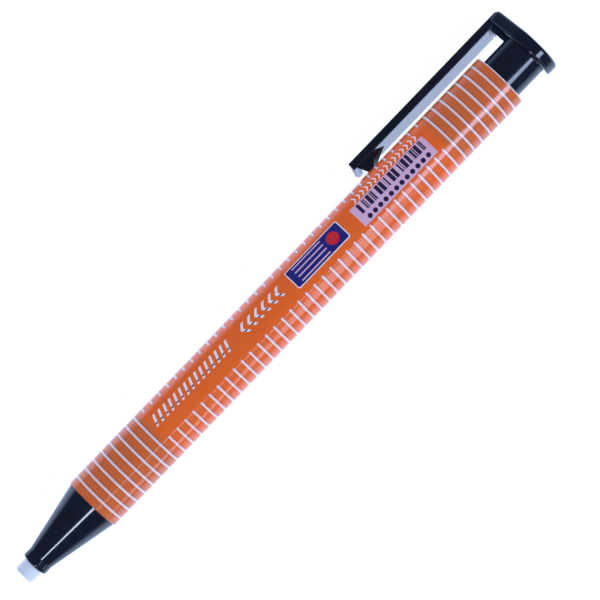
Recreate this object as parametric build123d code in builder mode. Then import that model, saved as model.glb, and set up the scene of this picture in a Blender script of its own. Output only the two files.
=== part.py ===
"""Push-button eraser stick: a printed barrel with a screwed front cone, a clip cap and a jaw chuck inside.

Lengths are millimetres.  The pen lies along X with its tip towards -X, as it rests on a table:
the origin is on the table under the middle of the object, and +Z points up.
Stations along the pen are measured from the front edge of the barrel, positive towards the cap.
"""
import os
from math import asin, atan2, cos, degrees, hypot, pi, radians, sin

from build123d import *

# Outside sizes
eraser_diameter = 3.8
eraser_length = 82.0
eraser_out = 2.51
eraser_round = 0.2
cone_length = 15.05
barrel_length = 104.8
barrel_diameter = 11.0
barrel_wall = 1.0
post_show = 6.35
plate_thickness = 2.53

# Movement
knock_travel = 4.5
ring_travel_share = 0.25
finger_opening = 1.5

# Clearances
rest_gap = 0.03
face_gap = 0.05
fit_gap = 0.01
touch_gap = 0.02
slip_gap = 0.1
thread_gap = 0.05
post_gap = 0.15
guide_gap = 0.08
overrun = 0.4

# Front cone
nose_wall = 0.74
nose_waist_depth = 0.03
nose_length = 1.84
nose_land = 0.75
nose_round = 0.5
waist_round = 1.5
nose_bore_gap = 0.15
cone_step = 0.22
cone_back_round = 0.15

# Grip ring in the nose
grip_setback = 4.35
grip_length = 2.5
grip_wall = 0.82
grip_chamfer = 0.15

# Chuck
sleeve_front = 8.0
ring_length = 3.0
stop_lip = 0.25
ring_chamfer = 0.2
head_length = 3.0
finger_length = 12.0
finger_wall = 0.47
neck_step = 0.15
head_rise = 0.33
opening_room = 0.09
finger_slit = 8.0
tooth_pitch = 0.8
tooth_count = 4
finger_count = 3

# Sleeve, spring and socket
sleeve_overlap = 5.0
sleeve_wall = 0.6
flange_length = 2.0
seat_length = 1.5
seat_room = 0.2
shoulder_length = 2.5
spring_length = 12.5
spring_wire = 0.4
spring_turns = 8
socket_length = 6.0
socket_wall = 0.55
socket_floor = 1.0

# Eraser tube
tube_gap = 0.25
tube_wall = 0.6
tube_back = 0.8
tube_chamfer = 0.15
groove_setback = 6.5
groove_width = 1.2
groove_depth = 0.2
rib_depth = 0.13
rib_side_gap = 0.1

# Cap and clip
post_inside = 11.0
post_round = 0.3
plate_overhang = 0.1
plate_round = 0.65
plate_under_round = 0.6
tongue_half_width = 2.85
tongue_corner = 1.5
clip_thickness = 1.66
clip_gap = 1.86
clip_width = 4.4
clip_edge = 0.2
clip_corner = 1.25
clip_length = 39.05
clip_end_bow = 0.57
clip_stub = 2.8
web_thickness = 1.05
gusset_length = 0.65
gusset_height = 0.9
gusset_tip = 0.1
gusset_width_share = 0.5

# Keel under the clip's end
keel_setback = 1.22
keel_flank = 4.45
keel_point = 6.3
keel_crest_start = 2.04
keel_crest_end = 3.6
keel_crest_point = 3.65
keel_crest_width = 2.8

# Barrel details
barrel_round = 0.25
barrel_bore_chamfer = 0.2

# Radii worked out from the middle outwards
eraser_r = eraser_diameter / 2
barrel_r = barrel_diameter / 2
bore_r = barrel_r - barrel_wall
finger_bore_r = eraser_r + slip_gap
tooth_r = eraser_r + touch_gap
neck_r = finger_bore_r + finger_wall
taper_r = neck_r + neck_step
head_r = taper_r + head_rise
stop_bore_r = head_r + finger_length * sin(radians(finger_opening)) + opening_room
ring_r = stop_bore_r + stop_lip
ring_room_r = ring_r + slip_gap
spigot_r = bore_r - thread_gap
tube_bore_r = eraser_r + tube_gap
tube_r = tube_bore_r + tube_wall
socket_r = tube_r + socket_wall
sleeve_bore_r = socket_r + guide_gap
sleeve_r = sleeve_bore_r + sleeve_wall
seat_bore_r = neck_r + seat_room
spring_r = (neck_r + sleeve_bore_r) / 2
grip_r = eraser_r + grip_wall
nose_bore_r = eraser_r + nose_bore_gap
nose_r = eraser_r + nose_wall
waist_r = nose_r - nose_waist_depth
cone_r = barrel_r - cone_step
post_r = bore_r - post_gap
post_bore_r = tube_r + face_gap
plate_r = barrel_r + plate_overhang
clip_inner = barrel_r + clip_gap
clip_middle = clip_inner + clip_thickness / 2
clip_reach = clip_inner + clip_thickness
knuckle_r = clip_thickness / 2

# Stations worked out along the pen
nose_face = -cone_length
tip = nose_face - eraser_out
grip_front = nose_face + grip_setback
grip_back = grip_front + grip_length
ring_back = sleeve_front - face_gap
ring_front = ring_back - ring_length
ring_stop = ring_front - knock_travel * ring_travel_share - face_gap
finger_tip = ring_front - head_length
finger_root = finger_tip + finger_length
cavity_front = finger_tip - knock_travel - overrun
flange_back = sleeve_front + flange_length
spring_front = sleeve_front + seat_length
socket_front = spring_front + spring_length
socket_back = socket_front + socket_length
sleeve_back = socket_front + sleeve_overlap
tube_front = socket_front + socket_floor
tube_end = barrel_length - tube_back
groove_front = tube_end - groove_setback
plate_under = barrel_length + post_show
plate_outer = plate_under + plate_thickness
post_front = barrel_length - post_inside
clip_tip = plate_outer - clip_length
flex_station = plate_under - clip_stub

# The pen rolls until the flat side of the end plate lies on the table
tongue_centre = clip_reach - tongue_corner
tongue_side = tongue_half_width - tongue_corner
lie_angle = degrees(asin((plate_r - tongue_corner) / hypot(tongue_centre, tongue_side)))
lie_angle = lie_angle - degrees(atan2(tongue_side, tongue_centre))
clip_angle = -lie_angle
clip_extent = (clip_reach - clip_edge) * cos(radians(lie_angle))
clip_extent = clip_extent + (clip_width / 2 - clip_edge) * sin(radians(lie_angle)) + clip_edge
front_x = -(plate_outer - tip) / 2 - tip
axis_y = (plate_r - clip_extent) / 2
axis_z = plate_r

pen_axis = Axis((0, axis_y, axis_z), (1, 0, 0))


def along(angle=0.0):
    """The plane through the pen's axis: local x runs along the pen, local y points out at the angle."""
    turn = radians(angle)
    return Plane(
        origin=(front_x, axis_y, axis_z),
        x_dir=(1, 0, 0),
        z_dir=(0, -sin(turn), cos(turn)),
    )


def across(station, angle=0.0):
    """The plane square to the pen at a station: local x points out at the angle."""
    turn = radians(angle)
    return Plane(
        origin=(front_x + station, axis_y, axis_z),
        x_dir=(0, cos(turn), sin(turn)),
        z_dir=(1, 0, 0),
    )


def above_clip(reach):
    """The plane over the clip at a distance from the axis, seen from the barrel: local y is across."""
    turn = radians(clip_angle)
    return Plane(
        origin=(front_x, axis_y + reach * cos(turn), axis_z + reach * sin(turn)),
        x_dir=(1, 0, 0),
        z_dir=(0, -cos(turn), -sin(turn)),
    )


os.makedirs("parts", exist_ok=True)

# Barrel: printed tube with an inner shoulder that the sleeve's flange sits on
shoulder_r = sleeve_r + touch_gap
with BuildPart() as barrel:
    with BuildSketch(along()):
        with BuildLine():
            Polyline(
                (0, bore_r),
                (0, barrel_r),
                (barrel_length, barrel_r),
                (barrel_length, bore_r),
                (flange_back + shoulder_length, bore_r),
                (flange_back + shoulder_length, shoulder_r),
                (flange_back, shoulder_r),
                (flange_back, bore_r),
                close=True,
            )
        make_face()
    revolve(axis=pen_axis)
    barrel_ends = barrel.faces().filter_by(Axis.X)
    front_rim = barrel_ends.sort_by(Axis.X)[0]
    back_rim = barrel_ends.sort_by(Axis.X)[-1]
    fillet(front_rim.outer_wire().edges() + back_rim.outer_wire().edges(), radius=barrel_round)
    chamfer(front_rim.inner_wires().edges() + back_rim.inner_wires().edges(), length=barrel_bore_chamfer)
barrel.part.label = "barrel"
export_step(barrel.part, "parts/barrel.step")

# Front cone: nose collar, taper and a spigot that screws into the barrel
with BuildPart() as front_cone:
    with BuildSketch(along()) as cone_profile:
        with BuildLine():
            Polyline(
                (nose_face, nose_bore_r),
                (nose_face, nose_r),
                (nose_face + nose_land, nose_r),
                (nose_face + nose_length, waist_r),
                (-rest_gap, cone_r),
                (-rest_gap, spigot_r),
                (ring_back, spigot_r),
                (ring_back, ring_room_r),
                (ring_stop, ring_room_r),
                (ring_stop, stop_bore_r),
                (cavity_front, stop_bore_r),
                (grip_back, grip_r + touch_gap),
                (grip_front - touch_gap, grip_r + touch_gap),
                (grip_front - touch_gap, nose_bore_r),
                close=True,
            )
        make_face()
        corners = cone_profile.vertices()
        fillet(corners.sort_by_distance((nose_face, nose_r))[0], radius=nose_round)
        fillet(corners.sort_by_distance((nose_face + nose_length, waist_r))[0], radius=waist_round)
        fillet(corners.sort_by_distance((-rest_gap, cone_r))[0], radius=cone_back_round)
    revolve(axis=pen_axis)
front_cone.part.label = "front_cone"
export_step(front_cone.part, "parts/front_cone.step")

# Grip ring: a rubber ring in the nose that holds the eraser while the chuck is open
with BuildPart() as nose_grip:
    with BuildSketch(along()) as grip_profile:
        with BuildLine():
            Polyline(
                (grip_front, tooth_r),
                (grip_front, grip_r),
                (grip_back - touch_gap, grip_r),
                (grip_back - touch_gap, tooth_r),
                close=True,
            )
        make_face()
        chamfer(grip_profile.vertices(), length=grip_chamfer)
    revolve(axis=pen_axis)
nose_grip.part.label = "nose_grip"
export_step(nose_grip.part, "parts/nose_grip.step")

# Eraser core: a plain stick with worn edges at its tip
with BuildPart() as eraser_core:
    with BuildSketch(across(tip)):
        Circle(eraser_r)
    extrude(amount=eraser_length)
    fillet(eraser_core.edges().filter_by(GeomType.CIRCLE), radius=eraser_round)
eraser_core.part.label = "eraser_core"
export_step(eraser_core.part, "parts/eraser_core.step")

# Chuck ring: its taper squeezes the fingers while the spring pulls them back into it
with BuildPart() as chuck_ring:
    with BuildSketch(along()) as ring_profile:
        with BuildLine():
            Polyline(
                (ring_front, head_r + touch_gap),
                (ring_front, ring_r),
                (ring_back, ring_r),
                (ring_back, taper_r + touch_gap),
                close=True,
            )
        make_face()
        corners = ring_profile.vertices()
        chamfer(corners.sort_by_distance((ring_front, ring_r))[0], length=ring_chamfer)
        chamfer(corners.sort_by_distance((ring_back, ring_r))[0], length=ring_chamfer)
    revolve(axis=pen_axis)
chuck_ring.part.label = "chuck_ring"
export_step(chuck_ring.part, "parts/chuck_ring.step")

# Chuck fingers: three toothed fingers, divided from their body where they flex
finger_arc = 360 / finger_count - finger_slit
teeth = []
for tooth in range(tooth_count):
    tooth_start = finger_tip + tooth * tooth_pitch
    teeth += [
        (tooth_start, tooth_r),
        (tooth_start + tooth_pitch / 2, tooth_r),
        (tooth_start + tooth_pitch, finger_bore_r),
    ]
for number in range(finger_count):
    with BuildPart() as finger:
        with BuildSketch(along(number * 360 / finger_count - finger_arc / 2)):
            with BuildLine():
                Polyline(
                    (finger_tip, head_r),
                    (ring_front, head_r),
                    (ring_back, taper_r),
                    (ring_back + neck_step, neck_r),
                    (finger_root, neck_r),
                    (finger_root, finger_bore_r),
                    *reversed(teeth),
                    close=True,
                )
            make_face()
        revolve(axis=pen_axis, revolution_arc=finger_arc)
    finger.part.label = f"chuck_finger_{number + 1}"
    export_step(finger.part, f"parts/chuck_finger_{number + 1}.step")

# Chuck body: carries the fingers through the spring and sockets onto the eraser tube
with BuildPart() as chuck_body:
    with BuildSketch(along()):
        with BuildLine():
            Polyline(
                (finger_root + touch_gap, finger_bore_r),
                (finger_root + touch_gap, neck_r),
                (socket_front, neck_r),
                (socket_front, socket_r),
                (socket_back, socket_r),
                (socket_back, tube_r + fit_gap),
                (tube_front, tube_r + fit_gap),
                (tube_front, finger_bore_r),
                close=True,
            )
        make_face()
    revolve(axis=pen_axis)
chuck_body.part.label = "chuck_body"
export_step(chuck_body.part, "parts/chuck_body.step")

# Inner sleeve: flanged guide that the ring rests on and the spring pushes against
with BuildPart() as inner_sleeve:
    with BuildSketch(along()):
        with BuildLine():
            Polyline(
                (sleeve_front, seat_bore_r),
                (sleeve_front, bore_r - fit_gap),
                (flange_back - fit_gap, bore_r - fit_gap),
                (flange_back - fit_gap, sleeve_r),
                (sleeve_back, sleeve_r),
                (sleeve_back, sleeve_bore_r),
                (spring_front, sleeve_bore_r),
                (spring_front, seat_bore_r),
                close=True,
            )
        make_face()
    revolve(axis=pen_axis)
inner_sleeve.part.label = "inner_sleeve"
export_step(inner_sleeve.part, "parts/inner_sleeve.step")

# Chuck spring: a helix of tangent arcs, two for each quarter turn
coil_start = spring_front + spring_wire / 2 + touch_gap
coil_end = socket_front - spring_wire / 2 - touch_gap
coil_pitch = (coil_end - coil_start) / spring_turns
coil_steps = 4 * spring_turns


def coil_point(step):
    """A point of the coil's centre line after a number of quarter turns."""
    angle = step * pi / 2
    return Vector(
        front_x + coil_start + coil_pitch * step / 4,
        axis_y + spring_r * cos(angle),
        axis_z + spring_r * sin(angle),
    )


def coil_tangent(step):
    """The coil's direction there."""
    angle = step * pi / 2
    rise = coil_pitch / (2 * pi)
    return Vector(rise, -spring_r * sin(angle), spring_r * cos(angle)).normalized()


def biarc_joint(start, start_tangent, end, end_tangent):
    """The point where two arcs meet that leave and arrive along the tangents."""
    span = end - start
    both = start_tangent + end_tangent
    bend = 2 * (1 - start_tangent.dot(end_tangent))
    reach = (-span.dot(both) + (span.dot(both) ** 2 + bend * span.dot(span)) ** 0.5) / bend
    return (start + end + (start_tangent - end_tangent) * reach) / 2


with BuildPart() as chuck_spring:
    with BuildLine() as coil:
        for step in range(coil_steps):
            start = coil_point(step)
            end = coil_point(step + 1)
            joint = biarc_joint(start, coil_tangent(step), end, coil_tangent(step + 1))
            first = TangentArc(start, joint, tangent=coil_tangent(step))
            TangentArc(joint, end, tangent=first % 1)
    with BuildSketch(Plane(origin=coil.line @ 0, z_dir=coil.line % 0)):
        Circle(spring_wire / 2)
    sweep(path=coil.line)
chuck_spring.part.label = "chuck_spring"
export_step(chuck_spring.part, "parts/chuck_spring.step")
print("least gap between the coils", round(coil_pitch - spring_wire, 3))

# Eraser tube: carries the push of the cap to the chuck, with a groove that the cap snaps into
with BuildPart() as eraser_tube:
    with BuildSketch(along()):
        with BuildLine():
            Polyline(
                (tube_front + fit_gap, tube_bore_r),
                (tube_front + fit_gap, tube_r),
                (groove_front, tube_r),
                (groove_front, tube_r - groove_depth),
                (groove_front + groove_width, tube_r - groove_depth),
                (groove_front + groove_width, tube_r),
                (tube_end, tube_r),
                (tube_end, tube_bore_r),
                close=True,
            )
        make_face()
    revolve(axis=pen_axis)
    chamfer(eraser_tube.faces().sort_by(Axis.X)[-1].edges(), length=tube_chamfer)
eraser_tube.part.label = "eraser_tube"
export_step(eraser_tube.part, "parts/eraser_tube.step")


def clip_bar(start, end):
    """The straight bar that the cap's stub and the clip are cut from, between two stations."""
    with BuildPart() as bar:
        with BuildSketch(across(start, clip_angle)):
            with Locations((clip_middle, 0)):
                RectangleRounded(clip_thickness, clip_width, clip_edge)
        extrude(amount=end - start)
    return bar.part


# Stations and radii inside the cap
gusset_back = plate_under - web_thickness
gusset_width = clip_width * gusset_width_share
rib_front = groove_front + rib_side_gap
rib_back = groove_front + groove_width - rib_side_gap
rib_r = tube_r - rib_depth

# Cap: end plate with its tongue, the push post, the web and the clip's stub, moulded in one
clip_stub_bar = clip_bar(flex_station, plate_outer)
with BuildPart() as cap:
    with BuildSketch(across(plate_under, clip_angle)):
        Circle(plate_r)
        with Locations((tongue_centre, tongue_side), (tongue_centre, -tongue_side)):
            Circle(tongue_corner)
        make_hull()
    extrude(amount=plate_thickness)
    plate_faces = cap.faces().sort_by(Axis.X)
    plate_rim = plate_faces[-1].edges()
    under_rim = plate_faces[0].edges()
    fillet(plate_rim, radius=plate_round)
    fillet(under_rim, radius=plate_under_round)
    # Clip stub and web
    add(clip_stub_bar)
    with BuildSketch(across(gusset_back, clip_angle)):
        with Locations((clip_middle / 2, 0)):
            Rectangle(clip_middle, clip_width - 2 * clip_edge)
    extrude(amount=web_thickness)
    # Rounded corner between the plate and the clip
    with BuildSketch(along(clip_angle)):
        with Locations((plate_outer - clip_corner / 2, clip_reach - clip_corner / 2)):
            Rectangle(clip_corner, clip_corner)
        with Locations((plate_outer - clip_corner, clip_reach - clip_corner)):
            Circle(clip_corner, mode=Mode.SUBTRACT)
    extrude(amount=plate_r, both=True, mode=Mode.SUBTRACT)
    # Gusset in the inner corner, drawn down to a point on the stub
    with BuildSketch(above_clip(clip_inner)):
        with BuildLine():
            Polyline(
                (gusset_back, clip_width / 2 - clip_edge),
                (gusset_back - gusset_length, gusset_tip),
                (gusset_back - gusset_length, -gusset_tip),
                (gusset_back, -clip_width / 2 + clip_edge),
                close=True,
            )
        make_face()
    with BuildSketch(above_clip(clip_inner - gusset_height)):
        with BuildLine():
            Polyline(
                (gusset_back, gusset_width / 2),
                (gusset_back - gusset_tip, gusset_tip),
                (gusset_back - gusset_tip, -gusset_tip),
                (gusset_back, -gusset_width / 2),
                close=True,
            )
        make_face()
    loft(ruled=True)
    # Push post with its bore and snap rib
    with BuildSketch(along()) as post_profile:
        with BuildLine():
            Polyline(
                (plate_under, 0),
                (plate_under, post_r),
                (post_front, post_r),
                (post_front, post_bore_r),
                (rib_front - rib_depth, post_bore_r),
                (rib_front, rib_r),
                (rib_back, rib_r),
                (rib_back + rib_depth, post_bore_r),
                (tube_end + face_gap, post_bore_r),
                (tube_end + face_gap, 0),
                close=True,
            )
        make_face()
        fillet(post_profile.vertices().sort_by_distance((post_front, post_r))[0], radius=post_round)
    revolve(axis=pen_axis)
    # Hollow that the clip's knuckle turns in
    with BuildSketch(along(clip_angle)):
        with Locations((flex_station, clip_middle)):
            Circle(knuckle_r + touch_gap)
    extrude(amount=clip_width, both=True, mode=Mode.SUBTRACT)
cap.part.label = "cap"
export_step(cap.part, "parts/cap.step")

# Clip: the long bar with its nose, a knuckle where the moulding flexes, and a keel over the barrel
clip_end = clip_tip + clip_end_bow
clip_flat = clip_width / 2 - clip_edge
keel_start = clip_tip + keel_setback
keel_outline = [
    (keel_start, -clip_flat),
    (keel_start, clip_flat),
    (keel_start + keel_flank, clip_flat),
    (keel_start + keel_point, 0),
    (keel_start + keel_flank, -clip_flat),
]
keel_crest = [
    (clip_tip + keel_crest_start, -keel_crest_width / 2),
    (clip_tip + keel_crest_start, keel_crest_width / 2),
    (clip_tip + keel_crest_end, keel_crest_width / 2),
    (clip_tip + keel_crest_point, 0),
    (clip_tip + keel_crest_end, -keel_crest_width / 2),
]
long_bar = clip_bar(clip_end, flex_station + knuckle_r)
with BuildPart() as clip:
    add(long_bar)
    # Knuckle end
    with BuildSketch(along(clip_angle)):
        with Locations((flex_station + knuckle_r / 2, clip_middle)):
            Rectangle(knuckle_r, clip_thickness + overrun)
        with Locations((flex_station, clip_middle)):
            Circle(knuckle_r, mode=Mode.SUBTRACT)
    extrude(amount=clip_width, both=True, mode=Mode.SUBTRACT)
    # Nose: square on the outer face and bowed on the inner one
    with BuildSketch(above_clip(clip_reach)):
        with BuildLine():
            Polyline(
                (clip_end, -clip_flat),
                (clip_end, clip_flat),
                (clip_end + overrun, clip_flat),
                (clip_end + overrun, -clip_flat),
                close=True,
            )
        make_face()
    with BuildSketch(above_clip(clip_inner)):
        with BuildLine():
            ThreePointArc((clip_end, -clip_flat), (clip_tip, 0), (clip_end, clip_flat))
            Polyline(
                (clip_end, clip_flat),
                (clip_end + overrun, clip_flat),
                (clip_end + overrun, -clip_flat),
                (clip_end, -clip_flat),
            )
        make_face()
    loft(ruled=True)
    # Keel
    with BuildSketch(above_clip(clip_inner)):
        with BuildLine():
            Polyline(*keel_outline, close=True)
        make_face()
    with BuildSketch(above_clip(barrel_r + rest_gap)):
        with BuildLine():
            Polyline(*keel_crest, close=True)
        make_face()
    loft(ruled=True)
clip.part.label = "clip"
export_step(clip.part, "parts/clip.step")
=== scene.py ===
"""Finishes a push-button eraser stick and lights it in a small white studio."""

import math

import bpy
from bpy.props import FloatProperty, FloatVectorProperty, IntProperty, PointerProperty
from mathutils import Matrix, Vector


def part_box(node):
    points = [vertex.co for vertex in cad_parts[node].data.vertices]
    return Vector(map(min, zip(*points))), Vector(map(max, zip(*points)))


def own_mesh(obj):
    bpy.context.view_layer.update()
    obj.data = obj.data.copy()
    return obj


bl_info = {
    "name": "Eraser Stick",
    "version": (1, 0, 0),
    "blender": (4, 5, 0),
    "location": "3D View > Sidebar > Eraser Stick",
    "description": "Finishes a push-button eraser stick and lights it",
    "category": "Object",
}

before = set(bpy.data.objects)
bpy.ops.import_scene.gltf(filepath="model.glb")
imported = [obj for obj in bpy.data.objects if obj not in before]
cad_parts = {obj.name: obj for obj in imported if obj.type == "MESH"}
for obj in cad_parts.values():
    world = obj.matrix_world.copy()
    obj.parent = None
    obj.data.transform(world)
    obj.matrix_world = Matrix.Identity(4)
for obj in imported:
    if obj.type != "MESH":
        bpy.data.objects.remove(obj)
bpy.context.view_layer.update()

MM = 0.001

# Places taken from the frame
BARREL_LOW, BARREL_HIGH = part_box("barrel")
CORE_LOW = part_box("eraser_core")[0]
AXIS = (BARREL_LOW + BARREL_HIGH) / 2
BARREL_RADIUS = (BARREL_HIGH.z - BARREL_LOW.z) / 2
BARREL_LENGTH = BARREL_HIGH.x - BARREL_LOW.x

# Depths of the finest relief, and how strongly a glossy moulding refracts
RIPPLE_HEIGHT = 0.0015 * MM
INK_HEIGHT = 0.004 * MM
GROOVE_DEPTH = 0.004 * MM
GRAIN_HEIGHT = 0.01 * MM
GLOSS_IOR = 1.6


def screen(red, green, blue):
    """A colour in linear light from screen values of 0 to 255."""

    def linear(value):
        share = value / 255
        if share <= 0.04045:
            return share / 12.92
        return ((share + 0.055) / 1.055) ** 2.4

    return linear(red), linear(green), linear(blue)


def length_property(name, description, millimetres):
    return FloatProperty(
        name=name, description=description, default=millimetres * MM, unit="LENGTH", precision=5
    )


def pair_property(name, description, millimetres):
    return FloatVectorProperty(
        name=name,
        description=description,
        default=[value * MM for value in millimetres],
        size=2,
        unit="LENGTH",
        precision=5,
    )


def power_property(name, description, watts):
    return FloatProperty(name=name, description=description, default=watts, min=0.0)


def angle_property(name, description, degrees):
    return FloatProperty(name=name, description=description, default=math.radians(degrees), subtype="ANGLE")


def colour_property(name, description, colour):
    return FloatVectorProperty(
        name=name, description=description, default=colour, size=3, min=0.0, max=1.0, subtype="COLOR"
    )


class ERASERSTICK_PG_colours(bpy.types.PropertyGroup):
    """Colours of the mouldings and the print."""

    barrel: colour_property("Barrel", "Moulded colour of the barrel", screen(221, 100, 38))
    ringed: colour_property("Ringed Ends", "Duller orange under the whole rings", screen(198, 100, 52))
    ink: colour_property("White Ink", "Rings and white marks", screen(226, 222, 242))
    badge: colour_property("Badge", "Dark field of the badge", screen(30, 30, 116))
    badge_spot: colour_property("Badge Spot", "Round spot on the badge", screen(188, 28, 48))
    label: colour_property("Label", "Ground of the striped label", screen(200, 168, 208))
    bars: colour_property("Bars", "Dark bars and shadows", screen(34, 26, 66))
    moulding: colour_property("Black Moulding", "Cone, cap and clip", screen(12, 16, 32))
    eraser: colour_property("Eraser", "Vinyl eraser", screen(196, 212, 240))


class ERASERSTICK_PG_print(bpy.types.PropertyGroup):
    """Sizes of the print on the barrel."""

    ring_start: length_property("First Ring", "From the barrel's front edge", 1.81)
    ring_pitch: length_property("Ring Pitch", "From one ring to the next", 2.0605)
    ring_width: length_property("Ring Width", "Width of one ring", 0.44)
    ring_count: IntProperty(name="Rings", description="Rings along the barrel", default=50)
    front_rings: IntProperty(name="Whole Rings in Front", description="Rings before the panel", default=8)
    back_rings: IntProperty(name="Whole Rings Behind", description="Rings after the panel", default=7)
    panel_low: angle_property("Panel Start", "Where the rings stop for the panel", -57.7)
    panel_high: angle_property("Panel End", "Where the rings start again", 14.8)
    badge_place: pair_property("Badge Place", "Middle, along and around the barrel", (59.58, -2.03))
    badge_size: pair_property("Badge Size", "Length and width with its outline", (13.1, 4.25))
    badge_outline: length_property("Badge Outline", "Width of the fine outline", 0.18)
    label_place: pair_property("Label Place", "Middle, along and around the barrel", (78.3, -1.26))
    label_size: pair_property("Label Size", "Length and width", (18.4, 4.27))

    def millimetres(self, name):
        return tuple(value / MM for value in getattr(self, name))


class ERASERSTICK_PG_studio(bpy.types.PropertyGroup):
    """The camera and the lamps."""

    camera_height: length_property("Camera Height", "Above the pen's axis", 620.0)
    camera_along: length_property("Camera Along", "From the middle of the pen", -3.36)
    camera_across: length_property("Camera Across", "From the pen's axis", -1.464)
    camera_turn: angle_property("Camera Turn", "How far the pen leans in the picture", 46.12)
    camera_tilt: angle_property("Camera Tilt", "Lean along the pen", 0.654)
    focal_length: FloatProperty(name="Focal Length", description="On a 36 mm sensor", default=208.93, min=1.0)
    key_lamp: power_property("Key Lamp", "Watts of the soft lamp on the side away from the clip", 11.6)
    fill_lamp: power_property("Fill Lamp", "Watts of the soft lamp on the clip's side", 6.8)


class Channel:
    """A shader socket that Python's operators work on."""

    def __init__(self, finish, socket):
        self.finish = finish
        self.socket = socket

    def _math(self, operation, *others):
        values = dict(enumerate((self, *others)))
        return self.finish.add("ShaderNodeMath", {"operation": operation}, values)

    def __add__(self, other):
        return self._math("ADD", other)

    __radd__ = __add__

    def __sub__(self, other):
        return self._math("SUBTRACT", other)

    def __rsub__(self, other):
        return self.finish.add("ShaderNodeMath", {"operation": "SUBTRACT"}, {0: other, 1: self})

    def __mul__(self, other):
        return self._math("MULTIPLY", other)

    __rmul__ = __mul__

    def __truediv__(self, other):
        return self._math("DIVIDE", other)

    def __mod__(self, other):
        return self._math("FLOORED_MODULO", other)

    def __and__(self, other):
        return self._math("MINIMUM", other)

    def __or__(self, other):
        return self._math("MAXIMUM", other)

    def __abs__(self):
        return self._math("ABSOLUTE")

    def sine(self):
        return self._math("SINE")

    def root(self):
        return self._math("SQRT")

    def turn_from(self, other):
        return self._math("ARCTAN2", other)

    def rise(self, low, high):
        """0 up to low and 1 from high, or the other way round where high is the lower one."""
        values = {"Value": self, "From Min": low, "From Max": high}
        return self.finish.add("ShaderNodeMapRange", {"interpolation_type": "SMOOTHSTEP"}, values)


class Finish:
    """A material or world whose nodes are being made."""

    # Sockets of a Mix node that is set to colours
    MIX_FACTOR, MIX_UNDER, MIX_OVER, MIX_RESULT = 0, 6, 7, 2

    def __init__(self, owner):
        owner.use_nodes = True
        self.owner = owner
        self.tree = owner.node_tree
        self.tree.nodes.clear()

    def add(self, kind, settings=None, values=None, output=0):
        """Makes one node: its settings first, then its sockets' values or links."""
        node = self.tree.nodes.new(kind)
        for name, setting in (settings or {}).items():
            setattr(node, name, setting)
        for name, value in (values or {}).items():
            if isinstance(value, Channel):
                self.tree.links.new(value.socket, node.inputs[name])
            elif isinstance(value, (tuple, list)) and node.inputs[name].type == "RGBA":
                node.inputs[name].default_value = (*value[:3], 1.0)
            else:
                node.inputs[name].default_value = value
        return Channel(self, node.outputs[output]) if node.outputs else node

    def paint(self, mask, under, over):
        """The colour under, with the colour over where the mask is 1."""
        values = {self.MIX_FACTOR: mask, self.MIX_UNDER: under, self.MIX_OVER: over}
        return self.add("ShaderNodeMix", {"data_type": "RGBA"}, values, self.MIX_RESULT)

    def blend(self, mask, under, over):
        """The shader under, with the shader over where the mask is 1."""
        return self.add("ShaderNodeMixShader", values={0: mask, 1: under, 2: over})

    def glow(self, colour, strength):
        return self.add("ShaderNodeEmission", values={"Color": colour, "Strength": strength})

    def ray(self, kind):
        """1 for rays of one kind, such as Camera or Glossy."""
        return self.add("ShaderNodeLightPath", output=f"Is {kind} Ray")

    def place(self):
        """The point on the piece, as three channels in metres."""
        values = {"Vector": self.add("ShaderNodeTexCoord", output="Object")}
        return tuple(self.add("ShaderNodeSeparateXYZ", values=values, output=axis) for axis in "XYZ")

    def speckle(self, scale, detail=2.0, roughness=0.5, point=None):
        """A cloud pattern with scale features per metre."""
        point = point or self.add("ShaderNodeTexCoord", output="Object")
        values = {"Vector": point, "Scale": scale, "Detail": detail, "Roughness": roughness}
        return self.add("ShaderNodeTexNoise", values=values)

    def hairs(self, along, around):
        """Fine lines along the pen, from a speckle with fewer features per metre along it than around it."""
        x, y, z = self.place()
        values = {"X": x * along, "Y": y * around, "Z": z * around}
        return self.speckle(1.0, point=self.add("ShaderNodeCombineXYZ", values=values))

    def bump(self, height, distance, under=None):
        values = {"Height": height, "Distance": distance}
        if under:
            values["Normal"] = under
        return self.add("ShaderNodeBump", values=values)

    def surface(self, **values):
        """Ends the material in one glossy shader."""
        named = {name.replace("_", " "): value for name, value in values.items()}
        shader = self.add("ShaderNodeBsdfPrincipled", values=named)
        self.add("ShaderNodeOutputMaterial", values={"Surface": shader})
        return self.owner


def new_finish(name):
    return Finish(bpy.data.materials.new(name))


def dress(piece, material):
    """Gives a piece its material."""
    piece.data.materials.clear()
    piece.data.materials.append(material)


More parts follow.
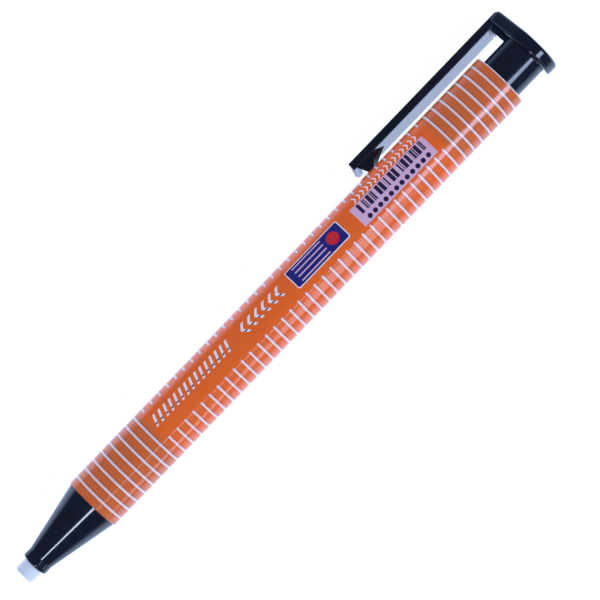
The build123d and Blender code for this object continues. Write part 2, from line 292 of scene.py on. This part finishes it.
class Print:
    """The barrel's print, in millimetres along it from its front edge and around it from its top line."""

    # Half the width over which a printed edge fades
    EDGE = 0.03

    def __init__(self, finish):
        x, y, z = finish.place()
        across = (y - AXIS.y) * -1.0
        above = z - AXIS.z
        self.station = (x - BARREL_LOW.x) / MM
        self.around = across.turn_from(above) * (BARREL_RADIUS / MM)
        self.radius = (across * across + above * above).root() / MM

    def within(self, value, low, high):
        """1 between two limits."""
        inside = value.rise(low - self.EDGE, low + self.EDGE)
        return inside * value.rise(high + self.EDGE, high - self.EDGE)

    def inside(self, distance):
        """1 where a distance from an outline is below 0."""
        return distance.rise(self.EDGE, -self.EDGE)

    def tablet(self, centre, size, corner):
        """A rectangle with round corners."""
        over_long = abs(self.station - centre[0]) - (size[0] / 2 - corner)
        over_wide = abs(self.around - centre[1]) - (size[1] / 2 - corner)
        outside_long = over_long | 0.0
        outside_wide = over_wide | 0.0
        outside = (outside_long * outside_long + outside_wide * outside_wide).root()
        return self.inside(outside + ((over_long | over_wide) & 0.0) - corner)

    def disc(self, centre, radius):
        along = self.station - centre[0]
        across = self.around - centre[1]
        return self.inside((along * along + across * across).root() - radius)

    def leaning(self, middle, slope):
        """The station, moved on by the distance from a line along the barrel."""
        return self.station + (self.around - middle) * slope

    def folded(self, middle, slope):
        """The same, with both sides of the line moved on alike."""
        return self.station + abs(self.around - middle) * slope

    def strokes(self, course, pitch, width):
        """Bars that repeat along a course."""
        phase = abs(course % pitch - pitch / 2)
        return self.inside(phase - width / 2)

    def run(self, course, start, end, pitch, width):
        """Bars that repeat along a course, from start to end."""
        return self.strokes(course - start, pitch, width) * self.within(course, start, end)


def ring_masks(art, sizes):
    """The white rings, the darker edges beside them and the ends where they go all round."""
    start, pitch, width = (value / MM for value in (sizes.ring_start, sizes.ring_pitch, sizes.ring_width))
    first_edge = start - pitch / 2
    last_edge = first_edge + sizes.ring_count * pitch
    panel_start = first_edge + sizes.front_rings * pitch
    panel_end = first_edge + (sizes.ring_count - sizes.back_rings) * pitch

    # The panel's edges lean a little off the barrel's own direction
    lean = 0.005
    lean_centre = 31.0
    leaning = art.around + (art.station - lean_centre) * lean
    reach = BARREL_RADIUS / MM
    panel = art.within(art.station, panel_start, panel_end)
    panel = panel * art.within(leaning, sizes.panel_low * reach, sizes.panel_high * reach)

    rings = art.strokes(art.station - first_edge, pitch, width)
    rings = rings * art.within(art.station, first_edge, last_edge) * (1.0 - panel)
    edge_offset = 0.03
    edge_width = 0.36
    edges = art.strokes(art.station - first_edge - edge_offset, pitch, width + edge_width) * (1.0 - panel)
    fade = 1.0
    front = art.station.rise(panel_start - fade, panel_start + fade)
    back = art.station.rise(panel_end + fade, panel_end - fade)
    return rings, edges, 1.0 - front * back


def row_masks(art):
    """A row of slanted strokes and chevrons, the dark band low on them and a fine row over the label."""
    middle, half = -2.29, 1.15
    slanted = art.run(art.leaning(middle, 0.35), start=18.1, end=37.6, pitch=1.3, width=0.5)
    chevrons = art.run(art.folded(middle, -0.8), start=39.9, end=50.4, pitch=1.75, width=0.62)
    marks = (slanted | chevrons) * art.within(art.around, middle - half, middle + half)
    band = marks * art.within(art.around, middle + 0.45, middle + 0.72)
    middle, half = -4.3, 0.72
    fine = art.run(art.folded(middle, 0.6), start=70.8, end=87.1, pitch=1.02, width=0.34)
    return marks, band, fine * art.within(art.around, middle - half, middle + half)


def badge_masks(art, sizes):
    """The outline and the dark field of the badge, with its ruled lines and its spot."""
    centre, size = sizes.millimetres("badge_place"), sizes.millimetres("badge_size")
    outline = sizes.badge_outline / MM
    field_size = [length - 2 * outline for length in size]
    ruled = art.strokes(art.around - centre[1], pitch=0.95, width=0.26)
    ruled = ruled * art.within(art.around, -3.7, -0.36) * art.within(art.station, 54.5, 61.6)
    spot = art.disc(centre=(63.6, -2.01), radius=1.25)
    return art.tablet(centre, size, corner=0.4), art.tablet(centre, field_size, corner=0.3), ruled, spot


def label_masks(art, sizes):
    """The label's pale ground, and its uneven bars with a row of dots under them."""
    ground = art.tablet(sizes.millimetres("label_place"), sizes.millimetres("label_size"), corner=0.15)
    span = art.within(art.station, 70.4, 86.6)

    # Three waves that never fall in step make the bars uneven
    wave = (art.station * 5.7).sine()
    wave = wave + (art.station * 13.3 + 1.3).sine() * 0.8
    wave = wave + (art.station * 2.17).sine() * 0.6
    bars = wave.rise(-0.35, -0.25) * art.within(art.around, -3.15, -1.05) * span

    dot_pitch = 1.35
    dot_radius = 0.47
    along = abs((art.station - 70.4) % dot_pitch - dot_pitch / 2)
    around = art.around - 0.05
    dots = art.inside((along * along + around * around).root() - dot_radius) * span
    return ground, bars | dots


def barrel_finish(colours, sizes):
    """Orange gloss with white rings, and a panel of plain marks between them."""
    finish = new_finish("orange_print")
    art = Print(finish)
    rings, edges, ends = ring_masks(art, sizes)
    marks, band, fine = row_masks(art)
    badge, field, ruled, spot = badge_masks(art, sizes)
    label, figures = label_masks(art, sizes)
    rim = art.station.rise(BARREL_LENGTH / MM - 0.3, BARREL_LENGTH / MM - 0.2)

    # Colours, from the moulding up
    deep_orange = (0.3, 0.05, 0.01)
    cloud = finish.speckle(140.0, 3.0)
    colour = finish.paint(ends, tuple(colours.barrel), tuple(colours.ringed))
    colour = finish.paint(cloud.rise(0.35, 0.65) * 0.06, colour, deep_orange)
    edge_cover, ring_cover, ink_cover = 0.34, 0.74, 0.96
    layers = (
        (edges * edge_cover, colours.bars),
        (rings * ring_cover | (rim | marks | fine) * ink_cover, colours.ink),
        (band, colours.bars),
        (badge, colours.ink),
        (field, colours.badge),
        (ruled, colours.label),
        (spot, colours.badge_spot),
        (label, colours.label),
        (figures, colours.bars),
    )
    for mask, over in layers:
        colour = finish.paint(mask, colour, tuple(over))

    # Only the outside is printed, not the bore
    reach = BARREL_RADIUS / MM
    printed = art.radius.rise(reach - 0.45, reach - 0.35)
    colour = finish.paint(printed, tuple(colours.barrel), colour)

    # Ink stands a little proud, over a faint ripple in the moulding
    ink = (rings | marks | badge | label) * printed
    ripple = finish.bump(finish.speckle(900.0, 1.0), RIPPLE_HEIGHT)
    relief = finish.bump(ink, INK_HEIGHT, under=ripple)
    roughness = 0.09 + finish.hairs(150.0, 4000.0).rise(0.6, 0.8) * 0.08 + ink * 0.06
    return finish.surface(Base_Color=colour, Roughness=roughness, Normal=relief, IOR=GLOSS_IOR)


def moulding_finish(colours):
    """Black gloss of the cone, cap and clip, with faint handling marks."""
    finish = new_finish("black_plastic")
    cloud = finish.speckle(260.0, 3.0)
    lighter = tuple(channel * 1.4 for channel in colours.moulding)
    colour = finish.paint(cloud.rise(0.4, 0.7), tuple(colours.moulding), lighter)
    roughness = 0.07 + cloud * 0.05 + finish.hairs(250.0, 3500.0).rise(0.62, 0.8) * 0.1
    relief = finish.bump(finish.speckle(1100.0, 1.0), RIPPLE_HEIGHT)
    return finish.surface(Base_Color=colour, Roughness=roughness, Normal=relief, IOR=GLOSS_IOR)


def eraser_finish(colours):
    """Soft vinyl with a fine grain and a little graphite on its tip."""
    finish = new_finish("eraser_vinyl")
    x, y, z = finish.place()
    worn_length = 0.9 * MM
    tip = (x - CORE_LOW.x).rise(worn_length, 0.0)
    smear = tip * finish.speckle(1500.0, 4.0, 0.6).rise(0.45, 0.75)
    grey = tuple(channel * 0.55 for channel in colours.eraser)
    colour = finish.paint(smear * 0.35, tuple(colours.eraser), grey)
    grain = finish.speckle(5200.0, 3.0)
    return finish.surface(
        Base_Color=colour,
        Roughness=0.5 + grain * 0.15,
        Normal=finish.bump(grain, GRAIN_HEIGHT),
        Subsurface_Weight=0.15,
        Subsurface_Radius=(MM, MM, MM),
        Subsurface_Scale=0.4,
    )


def rubber_finish():
    """Dull black rubber with a coarse grain."""
    finish = new_finish("grip_rubber")
    grain = finish.speckle(4000.0, 4.0)
    colour = finish.paint(grain, (0.022, 0.022, 0.024), (0.05, 0.05, 0.052))
    relief = finish.bump(grain, 2 * GRAIN_HEIGHT)
    return finish.surface(Base_Color=colour, Roughness=0.6 + grain * 0.2, Normal=relief)


def brass_finish():
    """Turned brass: fine grooves round the ring."""
    finish = new_finish("ring_brass")
    x, y, z = finish.place()
    groove_rate = 42000.0
    grooves = (x * groove_rate).sine() * 0.5 + 0.5
    stain = finish.speckle(700.0, 3.0)
    colour = finish.paint(stain, (0.62, 0.42, 0.16), (0.8, 0.6, 0.28))
    relief = finish.bump(grooves, GROOVE_DEPTH)
    return finish.surface(Base_Color=colour, Metallic=1.0, Roughness=0.22 + stain * 0.15, Normal=relief)


def satin_finish(name, colour, scale):
    """Unpolished moulded plastic with a fine spark texture."""
    finish = new_finish(name)
    grain = finish.speckle(scale, 4.0)
    shade = tuple(channel * 0.86 for channel in colour)
    return finish.surface(
        Base_Color=finish.paint(grain.rise(0.35, 0.65), shade, colour),
        Roughness=0.38 + grain * 0.16,
        Normal=finish.bump(grain, GRAIN_HEIGHT),
        Subsurface_Weight=0.1,
        Subsurface_Scale=0.3 * MM,
    )


def wire_finish():
    """Drawn steel wire, a little uneven in tone."""
    finish = new_finish("spring_steel")
    streaks = finish.speckle(6000.0, 3.0)
    colour = finish.paint(streaks, (0.42, 0.42, 0.44), (0.66, 0.66, 0.68))
    return finish.surface(Base_Color=colour, Metallic=1.0, Roughness=0.24 + streaks * 0.14)


class ERASERSTICK_OT_barrel(bpy.types.Operator):
    """Print the barrel with its rings and panel."""

    bl_idname = "eraser_stick.barrel"
    bl_label = "Barrel"

    def execute(self, context):
        scene = context.scene
        material = barrel_finish(scene.eraser_colours, scene.eraser_print)
        dress(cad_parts["barrel"], material)
        return {"FINISHED"}


class ERASERSTICK_OT_mouldings(bpy.types.Operator):
    """Finish the black front cone, cap and clip."""

    bl_idname = "eraser_stick.mouldings"
    bl_label = "Black Mouldings"

    def execute(self, context):
        material = moulding_finish(context.scene.eraser_colours)
        for name in ("front_cone", "cap", "clip"):
            dress(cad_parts[name], material)
        return {"FINISHED"}


class ERASERSTICK_OT_eraser(bpy.types.Operator):
    """Finish the vinyl eraser."""

    bl_idname = "eraser_stick.eraser"
    bl_label = "Eraser"

    def execute(self, context):
        material = eraser_finish(context.scene.eraser_colours)
        dress(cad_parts["eraser_core"], material)
        return {"FINISHED"}


class ERASERSTICK_OT_chuck(bpy.types.Operator):
    """Finish the chuck, its ring, sleeve and spring, the grip ring and the eraser tube."""

    bl_idname = "eraser_stick.chuck"
    bl_label = "Chuck"

    def execute(self, context):
        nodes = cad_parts
        dress(nodes["nose_grip"], rubber_finish())
        dress(nodes["chuck_ring"], brass_finish())

        # The spring gets a mesh of its own
        spring = nodes["chuck_spring"]
        dress(spring, wire_finish())
        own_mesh(spring)

        natural = satin_finish("natural_plastic", (0.62, 0.62, 0.56), 3500.0)
        fingers = [name for name in nodes if name.startswith("chuck_finger_")]
        for name in ("inner_sleeve", "chuck_body", *fingers):
            dress(nodes[name], natural)
        dress(nodes["eraser_tube"], satin_finish("tube_plastic", (0.52, 0.56, 0.6), 2500.0))
        return {"FINISHED"}


# Light of the room and of the panels
PALE_BLUE = (0.68, 0.78, 1.0)
ROOM = (0.08, 0.1, 0.16)
SIDE_GLOW = 3.2

# Glowing panels over the pen. A row goes from the panel's near edge to its far edge, each as the places along
# and across from the middle of the axis. A fade goes from pale blue to the faded colour between two places
# along the pen, which lean with the distance across. Lengths are in millimetres.
PANELS = (
    {
        "name": "cone_panel",
        "height": 300.0,
        "strength": 19.0,
        "rows": [(-330, -30, -330, -80), (-140, -92, -140, -130)],
    },
    {
        "name": "line_panel",
        "height": 300.0,
        "strength": 6.0,
        "rows": [
            (-85, -142, -85, -156),
            (-58, -160, -58, -176),
            (-25, -218, -25, -234),
            (10, -207, 10, -223),
            (33, -200, 33, -214),
            (90, -140, 90, -152),
        ],
    },
    {
        "name": "side_panel",
        "height": 300.0,
        "strength": SIDE_GLOW,
        "rows": [
            (-118, -1046, -430, -5700),
            (-77, -1046, -276, -5700),
            (-23, -740, -40, -1600),
            (14, -290, 34, -1600),
            (38, -245, 74, -1500),
            (60, -245, 110, -1500),
        ],
        "fade": (26.0, 62.0, 0.03),
        "faded": tuple(channel / SIDE_GLOW for channel in ROOM),
    },
    {
        "name": "rear_panel",
        "height": 299.0,
        "strength": SIDE_GLOW,
        "rows": [
            (29, -208, 32, -345),
            (60, -200, 68, -335),
            (78, -195, 86, -328),
            (85, -188, 97, -395),
            (92, -188, 103, -390),
            (97, -193, 107, -328),
            (125, -193, 138, -328),
        ],
        "fade": (32.0, 88.0, 0.0),
        "faded": (1.65, 2.06, 3.12),
    },
)


class ERASERSTICK_OT_stage(bpy.types.Operator):
    """Set the floor, the room's light, the lamps and panels, and the camera."""

    bl_idname = "eraser_stick.stage"
    bl_label = "Studio"

    def execute(self, context):
        studio = context.scene.eraser_studio
        self.floor()
        self.sky(context.scene)
        self.lamps(studio)
        self.camera(context.scene, studio)
        return {"FINISHED"}

    def floor(self):
        """White paper, whose glow in reflections is strongest under the pen and weak beside the clip: a
        painted pool of light under the pen and a painted shadow of the clip.
        """
        half = 3.0
        mesh = bpy.data.meshes.new("floor")
        corners = [(-half, -half, 0.0), (half, -half, 0.0), (half, half, 0.0), (-half, half, 0.0)]
        mesh.from_pydata(corners, [], [(0, 1, 2, 3)])
        floor = bpy.data.objects.new("floor", mesh)
        bpy.context.scene.collection.objects.link(floor)

        finish = new_finish("floor")
        camera, glossy, through = (finish.ray(kind) for kind in ("Camera", "Glossy", "Transmission"))
        x, y, z = finish.place()
        aside = y - AXIS.y
        away = abs(aside)
        # Painted light in the floor's glow in reflections: it fades away from the pen, a painted shadow of
        # the clip dims it beside the clip, and a painted pool of light brightens it right under the pen
        painted_clip_shadow = x.rise(16 * MM, 26 * MM) * aside.rise(9 * MM, 13 * MM)
        near = away.rise(85 * MM, 8 * MM) * (1.0 - painted_clip_shadow * 0.75)
        under = away.rise(7.5 * MM, 5.5 * MM)
        far_glow = finish.glow((0.05, 0.1, 0.22), 2.1)
        near_glow = finish.glow((0.52, 0.66, 0.93), 2.1)
        painted_pool_glow = finish.glow((0.54, 0.65, 0.93), 4.7)
        reflected = finish.blend(under, finish.blend(near, far_glow, near_glow), painted_pool_glow)
        shown = finish.blend(glossy, finish.glow((1.0, 1.0, 1.0), 1.05), reflected)
        paper = finish.add("ShaderNodeBsdfDiffuse", values={"Color": (0.85, 0.85, 0.85)})
        glowing_share = 0.92
        mixed = finish.blend((camera | glossy | through) * glowing_share, paper, shown)
        finish.add("ShaderNodeOutputMaterial", values={"Surface": mixed})
        mesh.materials.append(finish.owner)

    def sky(self, scene):
        """A dim room, and white where the camera looks past the floor."""
        world = bpy.data.worlds.new("studio")
        scene.world = world
        finish = Finish(world)
        dim = finish.add("ShaderNodeBackground", values={"Color": ROOM, "Strength": 1.0})
        white = finish.add("ShaderNodeBackground", values={"Color": (1.0, 1.0, 1.0), "Strength": 1.0})
        seen = finish.blend(finish.ray("Camera"), dim, white)
        finish.add("ShaderNodeOutputWorld", values={"Surface": seen})

    def lamps(self, studio):
        """Two soft lamps for the colours, and panels whose reflections run along the pen."""
        self.area_lamp("key_lamp", place=(0.0, -0.86, 0.5), size=1.0, power=studio.key_lamp)
        self.area_lamp("fill_lamp", place=(0.0, 0.75, 0.55), size=0.8, power=studio.fill_lamp)
        for panel in PANELS:
            self.panel(**panel)

    def area_lamp(self, name, place, size, power):
        """A square lamp that points at the pen and shows in no reflection."""
        data = bpy.data.lights.new(name, "AREA")
        data.shape = "SQUARE"
        data.size = size
        data.energy = power
        lamp = bpy.data.objects.new(name, data)
        lamp.location = place
        lamp.rotation_euler = Vector(place).to_track_quat("Z", "Y").to_euler()
        lamp.visible_glossy = False
        bpy.context.scene.collection.objects.link(lamp)

    def panel(self, name, height, strength, rows, fade=None, faded=PALE_BLUE):
        """A glowing strip that shows only in reflections, from one of PANELS."""
        mesh = bpy.data.meshes.new(name)
        edges = [edge for row in rows for edge in (row[:2], row[2:])]
        points = [(x * MM, AXIS.y + y * MM, AXIS.z + height * MM) for x, y in edges]
        faces = [(first, first + 1, first + 3, first + 2) for first in range(0, len(points) - 2, 2)]
        mesh.from_pydata(points, [], faces)
        panel = bpy.data.objects.new(name, mesh)
        bpy.context.scene.collection.objects.link(panel)
        finish = new_finish(name)
        colour = PALE_BLUE
        if fade:
            start, end, lean = fade
            x, y, z = finish.place()
            colour = finish.paint((x + y * lean).rise(start * MM, end * MM), colour, faded)
        finish.add("ShaderNodeOutputMaterial", values={"Surface": finish.glow(colour, strength)})
        mesh.materials.append(finish.owner)
        panel.visible_camera = False
        panel.visible_diffuse = False
        panel.visible_shadow = False

    def camera(self, scene, studio):
        """A camera above the pen, turned so that the pen lies across the picture."""
        data = bpy.data.cameras.new("camera")
        data.lens = studio.focal_length
        data.clip_start = 0.01
        data.clip_end = 20.0
        camera = bpy.data.objects.new("camera", data)
        place = Vector((studio.camera_along, AXIS.y + studio.camera_across, AXIS.z + studio.camera_height))
        lean = Matrix.Rotation(-studio.camera_tilt, 4, "Y")
        turn = Matrix.Rotation(-studio.camera_turn, 4, "Z")
        camera.matrix_world = Matrix.Translation(place) @ lean @ turn
        scene.collection.objects.link(camera)
        scene.camera = camera
        scene.view_settings.view_transform = "Standard"


OPERATORS = (
    ERASERSTICK_OT_barrel,
    ERASERSTICK_OT_mouldings,
    ERASERSTICK_OT_eraser,
    ERASERSTICK_OT_chuck,
    ERASERSTICK_OT_stage,
)


class ERASERSTICK_PT_sidebar(bpy.types.Panel):
    """Lists the steps and their settings."""

    bl_label = "Eraser Stick"
    bl_idname = "ERASERSTICK_PT_sidebar"
    bl_space_type = "VIEW_3D"
    bl_region_type = "UI"
    bl_category = "Eraser Stick"

    def draw(self, context):
        for operator in OPERATORS:
            self.layout.operator(operator.bl_idname)
        for group in (context.scene.eraser_colours, context.scene.eraser_print, context.scene.eraser_studio):
            for name in group.__annotations__:
                self.layout.prop(group, name)


GROUPS = {
    "eraser_colours": ERASERSTICK_PG_colours,
    "eraser_print": ERASERSTICK_PG_print,
    "eraser_studio": ERASERSTICK_PG_studio,
}


def register():
    for group in GROUPS.values():
        bpy.utils.register_class(group)
    for name, group in GROUPS.items():
        setattr(bpy.types.Scene, name, PointerProperty(type=group))
    for operator in (*OPERATORS, ERASERSTICK_PT_sidebar):
        bpy.utils.register_class(operator)


def unregister():
    for operator in (ERASERSTICK_PT_sidebar, *reversed(OPERATORS)):
        bpy.utils.unregister_class(operator)
    for name in GROUPS:
        delattr(bpy.types.Scene, name)
    for group in reversed(GROUPS.values()):
        bpy.utils.unregister_class(group)


def main():
    register()
    bpy.ops.eraser_stick.barrel()
    bpy.ops.eraser_stick.mouldings()
    bpy.ops.eraser_stick.eraser()
    bpy.ops.eraser_stick.chuck()
    bpy.ops.eraser_stick.stage()


if __name__ == "__main__":
    main()
